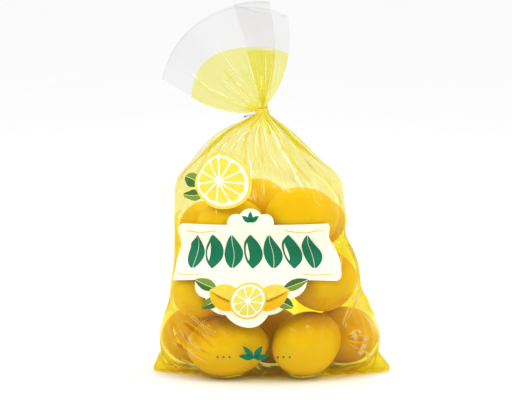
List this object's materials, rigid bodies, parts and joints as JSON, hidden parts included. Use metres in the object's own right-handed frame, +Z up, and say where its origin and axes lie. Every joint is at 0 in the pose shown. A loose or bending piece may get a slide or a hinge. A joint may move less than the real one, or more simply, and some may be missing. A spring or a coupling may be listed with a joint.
{
  "type": "bag of lemons",
  "caption": "Lemons in a sealed bag of yellow-tinted clear film, gathered at the neck by a wire tie, with the open end fanned out above it.",
  "frame": {"origin": "on the surface the bag stands on, under the middle of the bounding box", "axes": "+Z up towards the tie, -Y towards the printed front, +X to the right seen from the front"},
  "size_m": [0.22, 0.1161, 0.346],
  "materials": {
    "film": "thin yellow-tinted clear film",
    "wire": "thin plastic-coated wire",
    "peel": "waxy pored lemon peel",
    "print_cream": "cream ink on film",
    "print_green": "dark green ink on film",
    "print_yellow": "yellow ink on film"
  },
  "bodies": {
    "root": {"bag": "film", "tie": "wire"}
  },
  "joints": []
}
